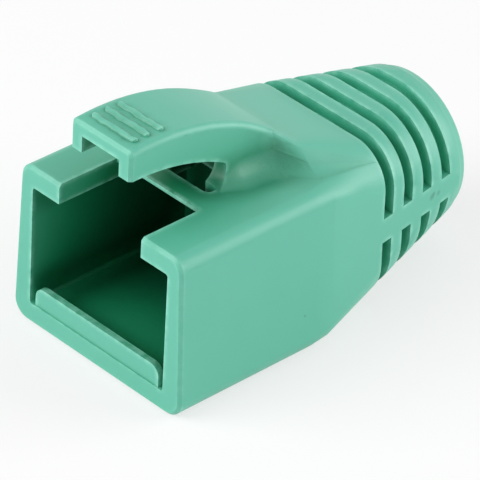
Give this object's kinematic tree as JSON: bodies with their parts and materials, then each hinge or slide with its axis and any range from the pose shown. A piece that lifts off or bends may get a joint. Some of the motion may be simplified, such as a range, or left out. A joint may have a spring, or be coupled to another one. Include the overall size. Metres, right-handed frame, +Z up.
{
  "type": "strain relief boot",
  "caption": "Soft one-piece boot for a modular network plug: box with plug cavity and latch slot, arched latch guard with ribs, and a grooved round cable end.",
  "frame": {"origin": "middle of the mouth's lower edge, on the level of the flat underside", "axes": "+X from the mouth to the cable end, +Y across, +Z up towards the latch guard"},
  "size_m": [0.0263, 0.0148, 0.0166],
  "materials": {
    "boot_plastic": "satin moulded soft plastic, sea green"
  },
  "bodies": {
    "root": {"boot": "boot_plastic"}
  },
  "joints": []
}
